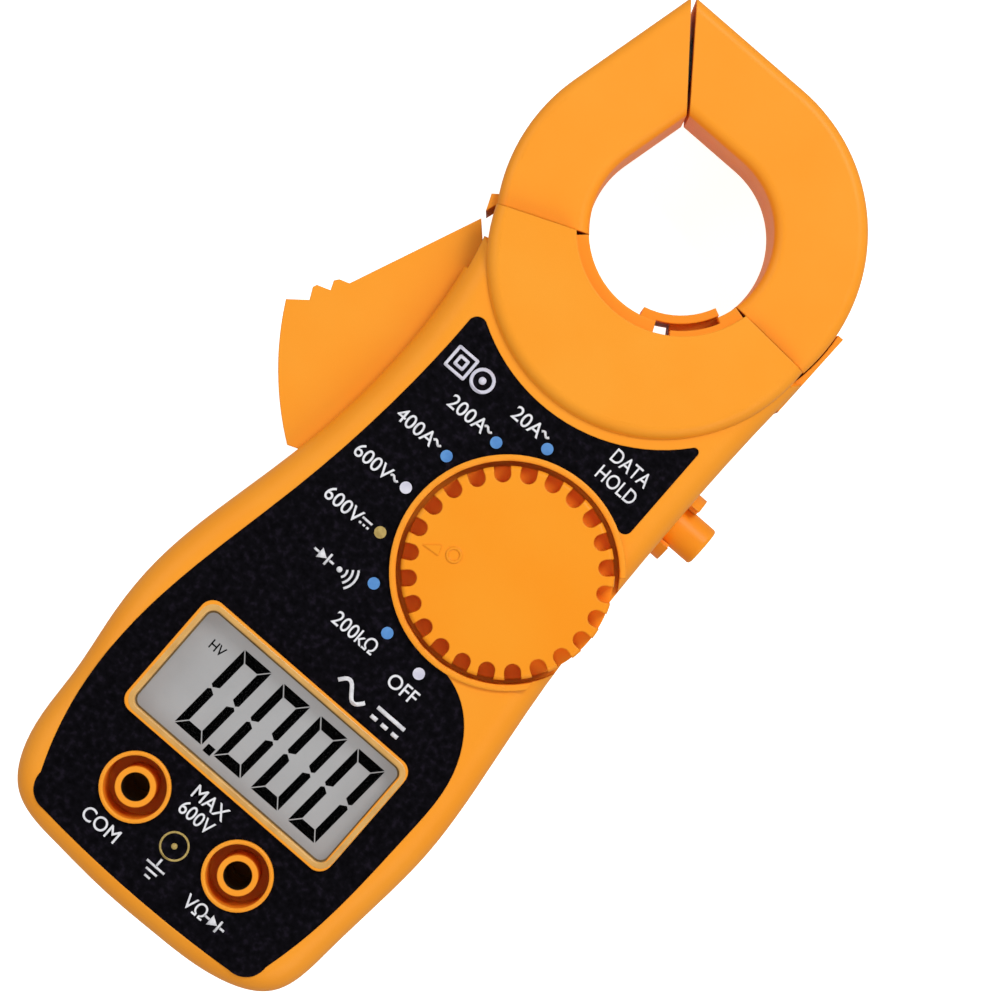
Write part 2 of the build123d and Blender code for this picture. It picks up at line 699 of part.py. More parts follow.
with BuildPart() as battery_cover:
    with BuildSketch():
        add(cover_plan)
    extrude(amount=COVER_THICKNESS)
    with BuildSketch():
        with Locations(COVER_SCREW):
            Circle(1.3)
    extrude(amount=COVER_THICKNESS, mode=Mode.SUBTRACT)
    with BuildSketch():
        with Locations(COVER_SCREW):
            Circle(2.1)
    extrude(amount=0.9, mode=Mode.SUBTRACT)
    # finger ribs near the lower edge
    with BuildSketch():
        with GridLocations(2.4, 0.0, 7, 1):
            with Locations((0.0, COVER_Y - 7.0)):
                Rectangle(1.2, 4.0)
    extrude(amount=0.5, mode=Mode.SUBTRACT)
save(battery_cover.part, "battery_cover")

with BuildPart() as cover_screw:
    with BuildSketch(Plane.XY.offset(0.05)):
        with Locations(COVER_SCREW):
            Circle(1.95)
            Rectangle(2.6, 0.5, mode=Mode.SUBTRACT)
            Rectangle(0.5, 2.6, mode=Mode.SUBTRACT)
    extrude(amount=0.5)
    with BuildSketch(Plane.XY.offset(0.5)):
        with Locations(COVER_SCREW):
            Circle(1.95)
    extrude(amount=0.35)
    with BuildSketch(Plane.XY.offset(0.5)):
        with Locations(COVER_SCREW):
            Circle(0.95)
    extrude(amount=5.5)
save(cover_screw.part, "battery_cover_screw")

with BuildPart() as case_screws:
    with BuildSketch(Plane.XY.offset(1.3)):
        with Locations(*SCREWS):
            Circle(2.2)
            Rectangle(2.8, 0.6, mode=Mode.SUBTRACT)
            Rectangle(0.6, 2.8, mode=Mode.SUBTRACT)
    extrude(amount=0.8)
    with BuildSketch(Plane.XY.offset(2.0)):
        with Locations(*SCREWS):
            Circle(2.2)
    extrude(amount=0.9)
    with BuildSketch(Plane.XY.offset(2.8)):
        with Locations(*SCREWS):
            Circle(1.05)
    extrude(amount=16.5)
save(case_screws.part, "case_screws")

# ---- range selector --------------------------------------------------------------------
FLUTE_R = 1.18
FLUTE_START = 13.8
POINTER_ANGLE = 202.5
BALL_ANGLES = (60.0, 240.0)
BALL_R = 1.0

with BuildPart() as selector_knob:
    with BuildSketch(Plane.XY.offset(WELL_FLOOR[1] + 0.3)):
        with Locations(KNOB_CENTRE):
            Circle(KNOB_R)
    extrude(amount=KNOB_TOP - WELL_FLOOR[1] - 0.3)
    fillet(selector_knob.faces().sort_by(Axis.Z)[-1].edges(), 0.7)
    with BuildSketch(Plane.XY.offset(WELL_FLOOR[1] + 1.3)):
        with Locations(KNOB_CENTRE):
            with PolarLocations(KNOB_R - 0.3, KNOB_FLUTES, start_angle=FLUTE_START):
                SlotOverall(4.0, 2 * FLUTE_R)
    extrude(amount=10.0, mode=Mode.SUBTRACT)
    # raised arrowhead and ring that point at the chosen range
    with BuildSketch(Plane.XY.offset(KNOB_TOP - 0.1)):
        with Locations(KNOB_CENTRE):
            with PolarLocations(7.9, 1, start_angle=POINTER_ANGLE):
                Circle(1.15)
                Circle(0.8, mode=Mode.SUBTRACT)
        with BuildLine():
            Polyline(polar(KNOB_CENTRE, 12.5, POINTER_ANGLE),
                     polar(KNOB_CENTRE, 10.0, POINTER_ANGLE + 4.6),
                     polar(KNOB_CENTRE, 10.0, POINTER_ANGLE - 4.6), close=True)
        make_face()
    extrude(amount=POINTER_HEIGHT + 0.1)
    with BuildSketch(Plane.XY.offset(ROTOR_Z[1])):
        with Locations(KNOB_CENTRE):
            Circle(SHAFT_R)
    extrude(amount=WELL_FLOOR[1] + 0.4 - ROTOR_Z[1])
save(selector_knob.part, "selector_knob")

with BuildPart() as switch_rotor:
    with BuildSketch(Plane.XY.offset(ROTOR_Z[0])):
        with Locations(KNOB_CENTRE):
            Circle(ROTOR_R)
    extrude(amount=ROTOR_Z[1] - ROTOR_Z[0])
    with BuildSketch(Plane.XY.offset(ROTOR_Z[0] + 0.6)):
        with Locations(*[polar(KNOB_CENTRE, 8.4, angle) for angle in BALL_ANGLES]):
            Circle(BALL_R + 0.05)
    extrude(amount=10.0, mode=Mode.SUBTRACT)
save(switch_rotor.part, "switch_rotor")

with BuildPart() as wiper_contacts:
    with BuildSketch(Plane.XY.offset(ROTOR_Z[0] - 0.2)):
        with Locations(KNOB_CENTRE):
            with PolarLocations(7.2, 3):
                Rectangle(6.0, 2.2)
    extrude(amount=0.2)
    with BuildSketch(Plane.XY.offset(BOARD_Z[1] + 0.03)):
        with Locations(KNOB_CENTRE):
            with PolarLocations(9.4, 3):
                Rectangle(1.0, 2.2)
            with PolarLocations(5.0, 3):
                Rectangle(1.0, 2.2)
    extrude(amount=ROTOR_Z[0] - 0.2 - BOARD_Z[1] - 0.03)
save(wiper_contacts.part, "wiper_contacts")

with BuildPart() as detent_balls:
    with Locations(*[(*polar(KNOB_CENTRE, 8.4, angle), 18.42) for angle in BALL_ANGLES]):
        Sphere(BALL_R)
save(detent_balls.part, "detent_balls")

# ---- hold button -----------------------------------------------------------------------
with BuildPart() as hold_button:
    with BuildSketch(Plane.YZ.offset(BUTTON_X[0])):
        with Locations((BUTTON_Y, BUTTON_Z)):
            Circle(BUTTON_R)
    extrude(amount=BUTTON_X[1] - BUTTON_X[0])
    fillet(hold_button.faces().sort_by(Axis.X)[-1].edges(), 0.5)
    with BuildSketch(Plane.YZ.offset(BUTTON_X[0] - 2.6)):
        with Locations((BUTTON_Y, BUTTON_Z)):
            Circle(1.3)
    extrude(amount=2.7)
save(hold_button.part, "hold_button")

with BuildPart() as hold_switch:
    with BuildSketch(Plane.YZ.offset(11.0)):
        with Locations((BUTTON_Y, BUTTON_Z)):
            Rectangle(6.4, 3.4)
    extrude(amount=6.8)
    with BuildSketch(Plane.YZ.offset(15.0)):
        with Locations((BUTTON_Y, BUTTON_Z)):
            Circle(1.4)
    extrude(amount=5.0, mode=Mode.SUBTRACT)
save(hold_switch.part, "hold_switch")

# ---- jaws ------------------------------------------------------------------------------
SHELL_HALVES = {"rear": (JAW_Z[0], JAW_SPLIT_Z), "front": (JAW_SPLIT_Z, JAW_Z[1])}
END_WALL_ANGLE = 5.0     # thickness of the tip's end wall, seen from the jaw centre
CORE_JOINT = 237.0       # where the two cores meet beside the pivot
CORE_FIT = 0.25

fixed_tip = JAW_AXIS - JAW_GAP_ANGLE
moving_tip = JAW_AXIS + JAW_GAP_ANGLE
channel = (CORE_RADII[0] - CORE_FIT, CORE_RADII[1] + CORE_FIT)
fixed_plan = jaw_plan(ring_slice(JAW_HOLE, JAW_OUTER, -25.0, fixed_tip), SEAM_RIGHT)
fixed_hollow = ring_slice(JAW_HOLE + WALL, JAW_OUTER - WALL, -7.0, fixed_tip - END_WALL_ANGLE)
fixed_root = arc_slice(*ROOT_RADII, -32.0, -4.0)
fixed_channel = ring_slice(*channel, -33.0, fixed_tip)
moving_plan = jaw_plan(ring_slice(JAW_HOLE, JAW_OUTER, moving_tip, 232.0), SEAM_LEFT)
moving_hollow = ring_slice(JAW_HOLE + WALL, JAW_OUTER - WALL, moving_tip + END_WALL_ANGLE, 212.0)
moving_root = arc_slice(*ROOT_RADII, 208.0, 235.3)
moving_channel = ring_slice(*channel, moving_tip, 237.0)
fixed_core_plan = ring_slice(*CORE_RADII, CORE_JOINT - 360.0, fixed_tip)
moving_core_plan = ring_slice(*CORE_RADII, moving_tip, CORE_JOINT - 2.5)


def runs_along(edge):
    """True for edges that follow the ring, false for those that cross it."""
    reach = [(Vector(*JAW_CENTRE) - Vector(point.X, point.Y)).length for point in (edge @ 0, edge @ 1)]
    return abs(reach[0] - reach[1]) < 9.0


for half, (low, high) in SHELL_HALVES.items():
    outside = 1 if half == "front" else 0
    level = -outside
    with BuildPart() as fixed_visible:
        with BuildSketch(Plane.XY.offset(low)):
            add(fixed_plan)
        extrude(amount=high - low)
        outer_face = fixed_visible.faces().sort_by(Axis.Z)[level]
        fillet(outer_face.edges().filter_by(runs_along), 1.6)
    with BuildPart() as fixed_shell:
        add(fixed_visible.part)
        with BuildSketch(Plane.XY.offset(max(low, ARM_Z[0]))):
            add(fixed_root)
        extrude(amount=min(high, ARM_Z[1]) - max(low, ARM_Z[0]))
        with BuildSketch(Plane.XY.offset(low if outside else low + WALL)):
            add(fixed_hollow)
        extrude(amount=high - low - WALL, mode=Mode.SUBTRACT)
        with BuildSketch(Plane.XY.offset(low if outside else CORE_Z[0] - CORE_FIT)):
            add(fixed_channel)
        extrude(amount=CORE_Z[1] + CORE_FIT - low if outside else 20.0, mode=Mode.SUBTRACT)
    save(fixed_shell.part, f"fixed_jaw_{half}_shell")

EAR_Z = (7.0, 21.0)      # small ear that covers the top of the trigger's opening
with BuildSketch() as ear:
    with BuildLine():
        Polyline((-26.6, 66.9), (-25.3, 67.9), (-24.4, 66.9), (-25.15, 65.9), (-25.6, 64.5),
                 close=True)
    make_face()
ear_plan = ear.sketch

HUB_LEVELS = {"rear": (ARM_Z[0], TRIGGER_Z[0] - 0.3), "front": (TRIGGER_Z[1] + 0.3, ARM_Z[1])}

for half, (low, high) in SHELL_HALVES.items():
    outside = 1 if half == "front" else 0
    level = -outside
    hub_low, hub_high = HUB_LEVELS[half]
    with BuildPart() as moving_visible:
        with BuildSketch(Plane.XY.offset(low)):
            add(moving_plan)
        extrude(amount=high - low)
        outer_face = moving_visible.faces().sort_by(Axis.Z)[level]
        fillet(outer_face.edges().filter_by(runs_along), 1.6)
    with BuildPart() as moving_shell:
        add(moving_visible.part)
        with BuildSketch(Plane.XY.offset(max(low, EAR_Z[0]))):
            add(ear_plan)
        extrude(amount=min(high, EAR_Z[1]) - max(low, EAR_Z[0]))
        with BuildSketch(Plane.XY.offset(hub_low)):
            add(moving_root)
            with Locations(PIVOT):
                Circle(HUB_R)
        extrude(amount=hub_high - hub_low)
        with BuildSketch(Plane.XY.offset(low if outside else low + WALL)):
            add(moving_hollow)
        extrude(amount=high - low - WALL, mode=Mode.SUBTRACT)
        with BuildSketch(Plane.XY.offset(low if outside else CORE_Z[0] - CORE_FIT)):
            add(moving_channel)
        extrude(amount=CORE_Z[1] + CORE_FIT - low if outside else 20.0, mode=Mode.SUBTRACT)
        with BuildSketch(Plane.XY):
            with Locations(PIVOT):
                Circle(PIVOT_PIN_R + 0.06)
        extrude(amount=30.0, mode=Mode.SUBTRACT)
    save(moving_shell.part, f"moving_jaw_{half}_shell")

with BuildPart() as fixed_core:
    with BuildSketch(Plane.XY.offset(CORE_Z[0])):
        add(fixed_core_plan)
    extrude(amount=CORE_Z[1] - CORE_Z[0])
save(fixed_core.part, "fixed_core")

with BuildPart() as moving_core:
    with BuildSketch(Plane.XY.offset(CORE_Z[0])):
        add(moving_core_plan)
    extrude(amount=CORE_Z[1] - CORE_Z[0])
save(moving_core.part, "moving_core")

# coil on the fixed core, under the collar
BOBBIN_SPAN = (267.0, 317.0)
FLANGE_ANGLE = 3.0
BOBBIN_WALL = 0.5
tube = (channel[0] - BOBBIN_WALL, channel[1] + BOBBIN_WALL)
coil_core = arc_slice(*channel, BOBBIN_SPAN[0] - 1.0, BOBBIN_SPAN[1] + 1.0)
coil_tube = arc_slice(*tube, *BOBBIN_SPAN)
coil_flanges = [arc_slice(16.5, 23.6, BOBBIN_SPAN[0], BOBBIN_SPAN[0] + FLANGE_ANGLE),
                arc_slice(16.5, 23.6, BOBBIN_SPAN[1] - FLANGE_ANGLE, BOBBIN_SPAN[1])]
coil_wire = arc_slice(16.8, 23.3, BOBBIN_SPAN[0] + FLANGE_ANGLE, BOBBIN_SPAN[1] - FLANGE_ANGLE)
TUBE_Z = (CORE_Z[0] - CORE_FIT - BOBBIN_WALL, CORE_Z[1] + CORE_FIT + BOBBIN_WALL)

with BuildPart() as coil_bobbin:
    with BuildSketch(Plane.XY.offset(TUBE_Z[0])):
        add(coil_tube)
    extrude(amount=TUBE_Z[1] - TUBE_Z[0])
    with BuildSketch(Plane.XY.offset(7.2)):
        add(coil_flanges)
    extrude(amount=14.2)
    with BuildSketch(Plane.XY.offset(CORE_Z[0] - CORE_FIT)):
        add(coil_core)
    extrude(amount=CORE_Z[1] - CORE_Z[0] + 2 * CORE_FIT, mode=Mode.SUBTRACT)
save(coil_bobbin.part, "coil_bobbin")

with BuildPart() as coil_winding:
    with BuildSketch(Plane.XY.offset(7.6)):
        add(coil_wire)
    extrude(amount=13.4)
    with BuildSketch(Plane.XY.offset(TUBE_Z[0])):
        add(coil_tube)
    extrude(amount=TUBE_Z[1] - TUBE_Z[0], mode=Mode.SUBTRACT)
save(coil_winding.part, "coil_winding")

# ---- trigger and pivot -----------------------------------------------------------------
with BuildPart() as trigger_lever:
    with BuildSketch(Plane.XY.offset(TRIGGER_Z[0])):
        with BuildLine():
            Polyline((-22.9, 22.0), (-25.2, 21.1))
            ThreePointArc((-25.2, 21.1), (-34.0, 29.3), (-38.9, 36.6))
            Polyline((-38.9, 36.6), (-36.3, 38.7), (-37.15, 40.4), (-36.9, 41.0), (-34.95, 41.7),
                     (-35.5, 43.05), (-35.0, 43.7), (-33.55, 44.2), (-25.5, 63.4),
                     (-20.8, 58.6), (-13.6, 54.8), (-22.9, 22.0))
        make_face()
        with Locations(PIVOT):
            Circle(HUB_R)
    extrude(amount=TRIGGER_Z[1] - TRIGGER_Z[0])
    with BuildSketch(Plane.XY):
        with Locations(PIVOT):
            Circle(PIVOT_PIN_R + 0.06)
    extrude(amount=30.0, mode=Mode.SUBTRACT)
save(trigger_lever.part, "trigger_lever")

with BuildPart() as pivot_pin:
    with BuildSketch(Plane.XY.offset(1.8)):
        with Locations(PIVOT):
            Circle(PIVOT_PIN_R)
    extrude(amount=23.4)
save(pivot_pin.part, "jaw_pivot_pin")
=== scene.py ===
"""Looks of the pocket clamp meter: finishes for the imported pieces, printed legends, rims, studio.

The meter lies on its back: +Z out of its face, +Y towards the jaws, +X to the reader's right.
Plan measures are in millimetres and become metres where a mesh is made; the lamps and the
camera are placed in metres.
"""
from math import cos, radians, sin, tan

import bmesh
import bpy
from mathutils import Matrix, Vector


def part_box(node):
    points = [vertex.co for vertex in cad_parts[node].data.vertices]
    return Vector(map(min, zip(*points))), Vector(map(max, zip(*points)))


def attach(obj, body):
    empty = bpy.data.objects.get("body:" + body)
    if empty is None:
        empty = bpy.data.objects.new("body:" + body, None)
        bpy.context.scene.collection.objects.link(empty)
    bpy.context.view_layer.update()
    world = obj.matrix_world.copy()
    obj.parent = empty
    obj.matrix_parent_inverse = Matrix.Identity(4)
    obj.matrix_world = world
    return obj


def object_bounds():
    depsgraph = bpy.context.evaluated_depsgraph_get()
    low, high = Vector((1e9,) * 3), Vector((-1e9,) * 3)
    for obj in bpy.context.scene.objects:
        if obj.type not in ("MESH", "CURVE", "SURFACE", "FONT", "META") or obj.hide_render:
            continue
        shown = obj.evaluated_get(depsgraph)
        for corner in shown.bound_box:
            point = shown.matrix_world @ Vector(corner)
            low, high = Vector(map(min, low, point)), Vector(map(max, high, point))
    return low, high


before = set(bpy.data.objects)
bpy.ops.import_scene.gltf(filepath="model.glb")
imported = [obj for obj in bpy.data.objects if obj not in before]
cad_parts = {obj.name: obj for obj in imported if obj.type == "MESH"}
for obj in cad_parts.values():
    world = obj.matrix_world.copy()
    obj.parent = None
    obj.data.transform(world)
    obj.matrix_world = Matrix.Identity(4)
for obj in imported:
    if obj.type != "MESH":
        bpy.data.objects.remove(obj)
cad_low, cad_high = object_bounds()

# ---- sizes --------------------------------------------------------------------------
MM = 0.001
knob_low, knob_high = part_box("selector_knob")
FACE_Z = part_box("front_label")[1].z / MM    # printed face of the label
GLASS_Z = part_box("lcd_glass")[1].z / MM     # top of the display glass
KNOB_CENTRE = ((knob_low.x + knob_high.x) / 2 / MM, (knob_low.y + knob_high.y) / 2 / MM)
INK = 0.03                                  # thickness of the printing
BOLD = 0.02                                 # extra weight of the lettering
CAPITAL_SHARE = 0.72                        # height of a capital in a letter of size 1
WELL_RADII = (15.7, 16.6)                   # raised rim round the knob
SOCKET_RADII = (4.5, 5.1)                   # raised rim round each socket
SOCKETS = {"com": (-9.5, -28.9), "volt": (9.5, -28.9)}
DISPLAY_CENTRE = (-0.2, -11.4)
DISPLAY_OPENING = (35.4, 17.4)
FRONT_Z = 25.0                              # flat front of the casing
RIM_TOP = 25.55                             # top of the raised rims
GRAIN_DEPTH = 0.012                         # spark-eroded texture of the mouldings
EDGE_RADIUS = 0.3                           # their slightly rounded edges
METAL_MARKS = 0.006                         # depth of the marks on metal pieces
METAL_EDGE = 0.08                           # their crisper edges


# ---- plan outlines --------------------------------------------------------------------
def polar(centre, radius, angle):
    """Point at a radius and an angle in degrees from a centre."""
    return centre[0] + radius * cos(radians(angle)), centre[1] + radius * sin(radians(angle))


def arc(centre, radius, start, end, step=4.0):
    """Points along an arc, both ends included."""
    count = max(2, int(abs(end - start) / step) + 1)
    return [polar(centre, radius, start + (end - start) * i / count) for i in range(count + 1)]


def circle(centre, radius, count=64):
    return [polar(centre, radius, 360.0 * i / count) for i in range(count)]


def ring(centre, radii):
    """Outline and hole of a flat ring."""
    return [circle(centre, radii[1]), circle(centre, radii[0])]


def band(centre, radii, start, end):
    """Part of a flat ring, closed at its two ends."""
    return arc(centre, radii[1], start, end) + arc(centre, radii[0], end, start)


def rounded_rectangle(centre, size, radius):
    """Rectangle with round corners, anticlockwise."""
    points = []
    for turn, (sx, sy) in enumerate(((1, 1), (-1, 1), (-1, -1), (1, -1))):
        corner = (centre[0] + sx * (size[0] / 2 - radius), centre[1] + sy * (size[1] / 2 - radius))
        points += arc(corner, radius, 90.0 * turn, 90.0 * (turn + 1), 15.0)
    return points


# ---- materials ------------------------------------------------------------------------
def linear(red, green, blue):
    """A colour given as 0-255 display values, as linear light with full alpha."""
    def channel(value):
        share = value / 255.0
        return share / 12.92 if share <= 0.04045 else ((share + 0.055) / 1.055) ** 2.4
    return channel(red), channel(green), channel(blue), 1.0


class Finish:
    """A node material: two tones spread by a texture, with grain in the surface."""

    def __init__(self, name, roughness, metallic=0.0):
        self.material = bpy.data.materials.new(name)
        self.material.use_nodes = True
        self.nodes = self.material.node_tree.nodes
        self.links = self.material.node_tree.links
        self.shader = next(n for n in self.nodes if n.type == "BSDF_PRINCIPLED")
        self.shader.inputs["Metallic"].default_value = metallic
        self.place = self.nodes.new("ShaderNodeTexCoord").outputs["Object"]
        self.roughness = roughness

    def mapped(self, scale):
        """Object coordinates stretched so that one unit is about one feature."""
        mapping = self.nodes.new("ShaderNodeMapping")
        mapping.inputs["Scale"].default_value = scale
        self.links.new(self.place, mapping.inputs["Vector"])
        return mapping.outputs["Vector"]

    def noise(self, scale, detail=3.0):
        texture = self.nodes.new("ShaderNodeTexNoise")
        texture.inputs["Scale"].default_value = 1.0
        texture.inputs["Detail"].default_value = detail
        self.links.new(self.mapped(scale), texture.inputs["Vector"])
        return texture.outputs["Fac"]

    def cells(self, scale):
        texture = self.nodes.new("ShaderNodeTexVoronoi")
        texture.inputs["Scale"].default_value = 1.0
        self.links.new(self.mapped(scale), texture.inputs["Vector"])
        return texture.outputs["Distance"]

    def ramp(self, value, stops):
        """Colour ramp through (position, colour) stops."""
        ramp = self.nodes.new("ShaderNodeValToRGB")
        elements = ramp.color_ramp.elements
        while len(elements) < len(stops):
            elements.new(0.5)
        for element, (position, colour) in zip(elements, stops):
            element.position = position
            element.color = colour
        self.links.new(value, ramp.inputs["Fac"])
        return ramp.outputs["Color"]

    def scaled(self, value, low, high):
        """A 0-1 value spread between two numbers."""
        spread = self.nodes.new("ShaderNodeMapRange")
        spread.inputs["To Min"].default_value = low
        spread.inputs["To Max"].default_value = high
        self.links.new(value, spread.inputs["Value"])
        return spread.outputs["Result"]

    def colour(self, output):
        self.links.new(output, self.shader.inputs["Base Color"])

    def rough(self, value, swing):
        """Roughness that wanders either side of its mean."""
        output = self.scaled(value, self.roughness - swing, self.roughness + swing)
        self.links.new(output, self.shader.inputs["Roughness"])

    def grain(self, height, depth, soften=0.0):
        """Relief of a depth in millimetres, over edges softened by a radius in millimetres."""
        bump = self.nodes.new("ShaderNodeBump")
        bump.inputs["Distance"].default_value = depth * MM
        self.links.new(height, bump.inputs["Height"])
        if soften:
            bevel = self.nodes.new("ShaderNodeBevel")
            bevel.samples = 6
            bevel.inputs["Radius"].default_value = soften * MM
            self.links.new(bevel.outputs["Normal"], bump.inputs["Normal"])
        self.links.new(bump.outputs["Normal"], self.shader.inputs["Normal"])


def per_mm(features, stretch=(1.0, 1.0, 1.0)):
    """Texture scale for a number of features in each millimetre."""
    return tuple(features / MM * share for share in stretch)


def plastic(name, dark, light, roughness=0.42):
    """Spark-eroded moulded plastic: faint clouding and a fine even grain."""
    finish = Finish(name, roughness)
    clouds = finish.noise(per_mm(0.06))
    finish.colour(finish.ramp(clouds, [(0.35, linear(*dark)), (0.65, linear(*light))]))
    fine = finish.noise(per_mm(3.0), 2.0)
    finish.rough(finish.noise(per_mm(0.4)), 0.05)
    finish.grain(fine, GRAIN_DEPTH, EDGE_RADIUS)
    finish.shader.inputs["Specular IOR Level"].default_value = 0.22
    return finish.material


def label_film():
    """Black overlay with a leathery emboss; its tone wanders at random, and its lightest specks are
    painted glints, small points of light put into the colour.
    """
    finish = Finish("label_film", 0.5)
    glint_speckle = finish.noise(per_mm(1.1), 6.0)
    # the darker tones wander at random; the lightest tone is a painted glint
    tones = [(0.35, linear(3, 2, 5)), (0.55, linear(10, 8, 14)), (0.75, linear(28, 23, 34))]
    finish.colour(finish.ramp(glint_speckle, tones))
    finish.rough(finish.noise(per_mm(0.8)), 0.08)
    finish.grain(finish.cells(per_mm(1.9)), 0.05)
    finish.shader.inputs["Specular IOR Level"].default_value = 0.04
    return finish.material


def paint(name, dark, light, roughness=0.5, features=1.5, shine=0.5, painted_glow=0.0):
    """Screen-printed ink with slightly uneven cover; where it is given emission, that is painted light
    from a face that is no lamp.
    """
    finish = Finish(name, roughness)
    cover = finish.noise(per_mm(features))
    finish.colour(finish.ramp(cover, [(0.3, linear(*dark)), (0.6, linear(*light))]))
    finish.rough(cover, 0.06)
    finish.grain(finish.noise(per_mm(6.0)), 0.004)
    finish.shader.inputs["Specular IOR Level"].default_value = shine
    # emission here is painted light: the face shines of itself, as no lamp does
    finish.shader.inputs["Emission Color"].default_value = (1.0, 1.0, 1.0, 1.0)
    finish.shader.inputs["Emission Strength"].default_value = painted_glow
    return finish.material


def metal(name, dark, light, roughness, stretch):
    """Worked metal with marks drawn out along one direction."""
    finish = Finish(name, roughness, metallic=1.0)
    marks = finish.noise(per_mm(1.0, stretch), 4.0)
    finish.colour(finish.ramp(marks, [(0.3, linear(*dark)), (0.7, linear(*light))]))
    finish.rough(marks, 0.1)
    finish.grain(marks, METAL_MARKS, METAL_EDGE)
    return finish.material


def banded(name, stops, roughness, axis, features, depth):
    """Bands of colour across one axis, such as wire turns or steel sheets."""
    finish = Finish(name, roughness, metallic=0.8)
    wave = finish.nodes.new("ShaderNodeTexWave")
    wave.bands_direction = axis
    wave.inputs["Scale"].default_value = 1.0
    wave.inputs["Distortion"].default_value = 0.4
    finish.links.new(finish.mapped(per_mm(features)), wave.inputs["Vector"])
    finish.colour(finish.ramp(wave.outputs["Fac"], stops))
    finish.rough(wave.outputs["Fac"], 0.08)
    finish.grain(wave.outputs["Fac"], depth)
    return finish.material


def acrylic():
    """Clear window: a faint smoky film with a gloss, over the display."""
    finish = Finish("acrylic", 0.06)
    smears = finish.noise(per_mm(0.15))
    finish.colour(finish.ramp(smears, [(0.4, linear(6, 7, 8)), (0.6, linear(12, 13, 14))]))
    finish.rough(smears, 0.03)
    finish.grain(finish.noise(per_mm(0.1)), 0.004)
    finish.shader.inputs["Alpha"].default_value = 0.05
    return finish.material


def circuit():
    """Green solder mask over copper tracks."""
    finish = Finish("circuit", 0.35)
    tracks = finish.nodes.new("ShaderNodeTexBrick")
    tracks.inputs["Color1"].default_value = linear(22, 92, 52)
    tracks.inputs["Color2"].default_value = linear(30, 110, 62)
    tracks.inputs["Mortar"].default_value = linear(64, 150, 84)
    tracks.inputs["Scale"].default_value = 1.0
    tracks.inputs["Mortar Size"].default_value = 0.06
    finish.links.new(finish.mapped(per_mm(0.35)), tracks.inputs["Vector"])
    finish.colour(tracks.outputs["Color"])
    finish.rough(tracks.outputs["Fac"], 0.06)
    finish.grain(tracks.outputs["Fac"], 0.03)
    return finish.material


def jacket():
    """Printed cell jacket: a dark body with a copper-coloured end."""
    finish = Finish("jacket", 0.3, metallic=0.35)
    split = finish.nodes.new("ShaderNodeSeparateXYZ")
    finish.links.new(finish.mapped(per_mm(0.02)), split.inputs["Vector"])
    along = finish.scaled(split.outputs["X"], 0.5, 1.5)
    stops = [(0.0, linear(38, 40, 46)), (0.73, linear(44, 46, 54)), (0.76, linear(190, 120, 60))]
    finish.colour(finish.ramp(along, stops))
    finish.rough(finish.noise(per_mm(0.5)), 0.05)
    finish.grain(finish.noise(per_mm(0.6)), 0.01)
    return finish.material


finishes = {
    "orange_shell": plastic("shell_plastic", (255, 158, 34), (255, 163, 42)),
    "orange_jaw": plastic("jaw_plastic", (255, 158, 36), (255, 162, 42)),
    "orange_knob": plastic("knob_plastic", (255, 153, 22), (255, 158, 30), 0.4),
    "label_black": label_film(),
    "clear_window": acrylic(),
    # the grey display face shines a little of itself: painted light that lifts it against the shade of
    # its sunk window
    "lcd_grey": paint("lcd_grey_face_painted_glow", (150, 150, 151), (156, 156, 157), features=0.2, shine=0.2,
                      painted_glow=0.17),
    "white_nylon": plastic("nylon", (222, 220, 210), (236, 234, 226), 0.5),
    "contact_rubber": plastic("zebra_rubber", (210, 120, 150), (226, 140, 165), 0.7),
    "board_green": circuit(),
    "chip_black": plastic("chip_epoxy", (22, 22, 24), (34, 34, 37), 0.55),
    "can_dark": plastic("can_sleeve", (26, 30, 52), (38, 42, 70), 0.35),
    "ceramic_orange": plastic("ceramic", (196, 110, 60), (214, 130, 76), 0.6),
    "trimmer_blue": plastic("trimmer_body", (34, 92, 176), (48, 110, 196), 0.45),
    "brass_plated": metal("plated_brass", (150, 140, 120), (214, 205, 180), 0.25, (0.2, 0.2, 6.0)),
    "cell_jacket": jacket(),
    "nickel": metal("nickel_plate", (170, 168, 160), (216, 214, 206), 0.25, (0.3, 4.0, 4.0)),
    "steel": metal("zinc_steel", (120, 122, 126), (196, 198, 202), 0.32, (1.0, 1.0, 0.05)),
    "core_steel": banded("core_sheets", [(0.3, linear(70, 72, 76)), (0.7, linear(140, 142, 148))],
                         0.4, "Z", 0.5, 0.05),
    "copper_wire": banded("winding", [(0.2, linear(96, 40, 16)), (0.6, linear(206, 116, 58))],
                          0.3, "X", 0.9, 0.12),
}
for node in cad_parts.values():
    for slot in node.material_slots:
        slot.material = finishes[slot.material.name]

white_ink = paint("white_ink", (214, 214, 220), (236, 236, 240))
blue_ink = paint("blue_ink", (74, 132, 200), (92, 152, 216), roughness=0.35, features=0.5)
gold_ink = paint("gold_ink", (166, 140, 72), (190, 164, 92))
dot_white = paint("dot_white", (205, 203, 222), (226, 225, 238), roughness=0.35, features=0.5)
segment_ink = paint("segment_ink", (1, 1, 1), (3, 3, 3), shine=0.0)
bezel_paint = paint("bezel_paint", (208, 156, 80), (224, 172, 94), roughness=0.35, features=0.3)
# dark brown paint for the thin ring inside the bezel: a painted shadow along the inner edge of the
# opening
shadow_ring_paint = paint("shadow_ring_paint", (96, 74, 36), (116, 92, 48), roughness=0.6, features=0.5)


# ---- pieces ---------------------------------------------------------------------------
def piece(name, mesh, material, body):
    """A finished mesh as a named piece that moves with a body."""
    made = bpy.data.objects.new(name, mesh)
    mesh.name = name
    mesh.materials.clear()
    mesh.materials.append(material)
    bpy.context.scene.collection.objects.link(made)
    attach(made, body)
    return made


